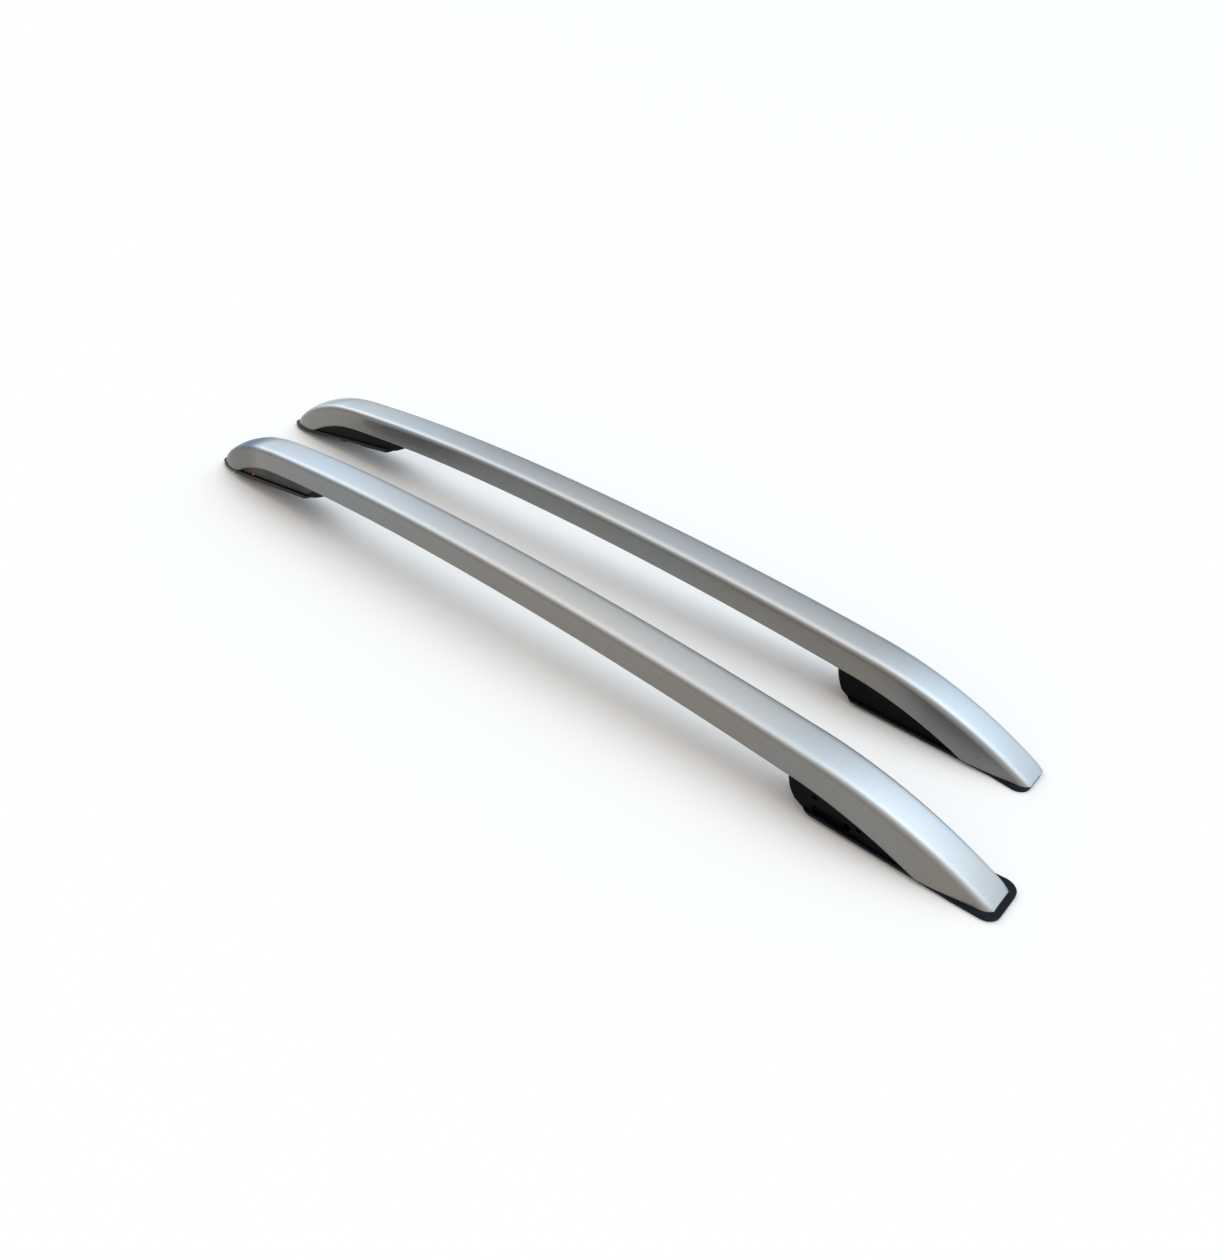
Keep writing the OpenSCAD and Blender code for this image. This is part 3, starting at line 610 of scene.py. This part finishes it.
def front_hollows(foot, side):
    """The long recess of a front leg's outer side, and the dark gap ahead of it."""
    recess_from, end_rib, recess_depth, sill, lean_in = 0.106, 0.013, 0.0026, 0.0026, 0.11
    along = (recess_from, foot.leg_len - end_rib)
    outwards = (surface - recess_depth, clear_of_leg)
    yield block_at(foot, side, along, outwards, (sill, 0.06), 0.004, lean_in), True
    gap_from, gap_to, gap_floor = 0.078, 0.1045, 0.014
    outwards = (gap_floor, clear_of_leg)
    yield block_at(foot, side, (gap_from, gap_to), outwards, (-0.003, 0.03), 0.001), False


def rear_hollows(foot, side):
    """The slot low in a rear leg's outer side, and two clip holes under the bar."""
    end, outwards = foot.leg_len, (0.024, clear_of_leg)
    slot_from, slot_to, slot_up = 0.022, 0.074, (0.0012, 0.0135)
    along = (end - slot_to, end - slot_from)
    yield block_at(foot, side, along, outwards, slot_up, 0.006, steps=6), False
    hole_half, hole_h, under_bar = 0.0035, 0.004, 0.010
    for back in (0.024, 0.084):
        x = end - back
        z = foot.room(x) - under_bar
        along = (x - hole_half, x + hole_half)
        yield block_at(foot, side, along, outwards, (z, z + hole_h), 0.0015), False


black = Finish("black_plastic", metallic=0, specular_ior_level=0.06)
grain = black.noise(1400, 1)
dust = black.noise(16, 4).step(0.45, 0.75)
black.put("Base Color", black.blend(dust, (0.002, 0.002, 0.002, 1), (0.006, 0.0057, 0.0054, 1)))
black.put("Roughness", 0.42 + 0.12 * grain + 0.10 * dust)
black.bump(grain, 0.00006)
# The recess of the front legs is a lighter warm grey, mottled
mottled = Finish("mottled_plastic", metallic=0, specular_ior_level=0.2)
patchy = mottled.noise(28, 4).step(0.30, 0.72)
mottled.put("Base Color", mottled.blend(patchy, (0.040, 0.036, 0.032, 1), (0.088, 0.082, 0.075, 1)))
mottled.put("Roughness", 0.60 + 0.2 * patchy)
mottled.bump(mottled.noise(1400, 1), 0.00006)

for rail in (left_rail, right_rail):
    for end, foot, side in rail.feet:
        leg = moulding(f"{rail.name}_{end}_leg", f"{rail.name}_{end}_leg_moulding")
        black.on(leg)
        for hollow, is_mottled in (front_hollows if end == "front" else rear_hollows)(foot, side):
            (mottled if is_mottled else black).on(hollow)
            rail.place(hollow)
            take_out(leg, hollow)
        round_heel(leg, rail, foot, side)
        round_edges(leg, leg_edge_r)
        finish(leg)
        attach(leg, "root")
        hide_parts(f"{rail.name}_{end}_leg")


# Plug: a small orange plastic plug, pressed into a hole low in the left front leg's recess. It
# stands a little proud of the leg's outer side.
plug_along, plug_up = (0.139, 0.148), (0.0004, 0.0040)
plug_len, plug_proud, plug_edge_r = 0.006, 0.0002, 0.001
outwards = (surface - plug_len, surface + plug_proud)
plug = block_at(front, -1, plug_along, outwards, plug_up, plug_edge_r)
orange = Finish("orange_plastic", metallic=0, specular_ior_level=0.3)
grime = orange.noise(300, 2)
orange.put("Base Color", orange.blend(grime, (0.62, 0.085, 0.022, 1), (0.38, 0.055, 0.018, 1)))
orange.put("Roughness", 0.45 + 0.1 * grime)
orange.on(plug)
left_rail.place(plug)
finish(plug)
plug.name = "left_front_orange_plug"
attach(plug, "root")


# Gaskets: four black rubber trays between the legs and the roof. Their rims show as a thin dark
# line round each foot and as a lip past each tip; the right front one stands off in waves.
rubber = Finish("black_rubber", metallic=0, specular_ior_level=0.14)
chalk = rubber.noise(24, 4).step(0.5, 0.8)
deep, chalky = (0.002, 0.004, 0.009, 1), (0.005, 0.009, 0.016, 1)
rubber.put("Base Color", rubber.blend(chalk, deep, chalky))
rubber.put("Roughness", 0.36 + 0.12 * rubber.noise(900, 2) + 0.1 * chalk)
rubber.bump(rubber.noise(1100, 2), 0.00004)
# The right rear lip hides under the bar's outer side at the tip
tuck_len, tuck_depth, tuck_back = 0.060, 0.007, 0.003
lip_edge_r, lip_edge_steps, lip_past_leg = 0.0009, 3, 0.0025

for rail in (left_rail, right_rail):
    for end, foot, side in rail.feet:
        tray = moulding(f"{rail.name}_{end}_gasket", f"{rail.name}_{end}_gasket_tray")
        rubber.on(tray)
        if foot is right_rear:
            for vertex in tray.data.vertices:
                from_tip, rise = rail.in_foot(foot, side, vertex.co)
                share = max(0, 1 - from_tip / tuck_len)
                if vertex.co.y > rail.spot.y:
                    vertex.co.y -= tuck_depth * share
                vertex.co.x -= tuck_back * share
        round_heel(tray, rail, foot, side, lip_past_leg)
        round_edges(tray, lip_edge_r, lip_edge_steps)
        finish(tray)
        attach(tray, "root")
        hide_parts(f"{rail.name}_{end}_gasket")


# Hidden fastening: zinc plated plates, nuts, screws and rivet nuts, and a brass insert moulded
# into each tip. They keep their solids and only get their finish.
zinc = Finish("zinc_steel", metallic=1)
frost = zinc.noise(500, 2)
zinc.put("Base Color", zinc.blend(frost, (0.50, 0.50, 0.47, 1), (0.60, 0.60, 0.56, 1)))
zinc.put("Roughness", 0.30 + 0.2 * frost)
brass = Finish("brass_insert", metallic=1)
tarnish = brass.noise(260, 3)
brass.put("Base Color", brass.blend(tarnish, (0.62, 0.45, 0.19, 1), (0.48, 0.33, 0.14, 1)))
brass.put("Roughness", 0.28 + 0.2 * tarnish)
metals = {"_mount_": zinc, "_screws": zinc, "_rivet_": zinc, "_insert": brass}
for node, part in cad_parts.items():
    for word, metal in metals.items():
        if word in node:
            metal.on(part)


# Studio: a wide pale paper floor under a soft sky, brightest in a long band high behind the
# rails and towards both ends of that band, and dimmer on the camera's side
bpy.ops.object.select_all(action="DESELECT")
floor_size = 80
bpy.ops.mesh.primitive_plane_add(size=floor_size)
studio_floor = bpy.context.object
studio_floor.name = "studio_floor"
paper = Finish("pale_paper", metallic=0, roughness=0.9, specular_ior_level=0.1)
paper.put("Base Color", (0.955, 0.925, 0.900, 1))
paper.on(studio_floor)

bpy.context.scene.world = bpy.data.worlds.new("soft_sky")
sky = Paint(bpy.context.scene.world)
to_rear, to_right_side, up = sky.node("ShaderNodeTexCoord", output="Generated").parts()
height = up.maths("ARCTAN2", up, to_right_side)
plain = 0.26 + 1.14 * height.step(0.50, 1.05) - 0.72 * height.step(1.40, 2.00)
behind = up.step(0.0, 0.25) * (1 - height.step(1.35, 1.7))
front_glow = (1 - to_rear.step(-0.84, -0.66)) * behind
rear_glow = to_rear.step(-0.15, 0.20) * (1 - to_rear.step(0.35, 0.75)) * behind
cool, neutral = (0.86, 1.0, 1.12, 1), (1.03, 1.0, 0.97, 1)
glow = front_glow * 0.95 + rear_glow
blue = front_glow + to_rear.step(-0.5, 0.0) * behind + 0.5 * (1 - height.step(0.50, 0.75))
sky.feed("Background", "Color", sky.blend(blue, neutral, cool))
sky.feed("Background", "Strength", plain + glow)

bpy.context.scene.view_settings.view_transform = "Standard"
camera_data = bpy.data.cameras.new("camera")
# The photograph's angle of view and place, taken from its perspective
camera_data.lens, camera_data.sensor_width = 28.571, 36
camera_data.clip_end = 200
camera = bpy.data.objects.new("camera", camera_data)
bpy.context.scene.collection.objects.link(camera)
bpy.context.scene.camera = camera
to_right = Vector((0.74533, 0.66653, 0.01476))
to_top = Vector((-0.39772, 0.42674, 0.81223))
to_back = Vector((0.53508, -0.61125, 0.58316))
turned = Matrix((to_right, to_top, to_back)).transposed().to_4x4()
camera_spot = (0.95105, -0.92363, 0.86874)
camera.matrix_world = Matrix.Translation(camera_spot) @ turned
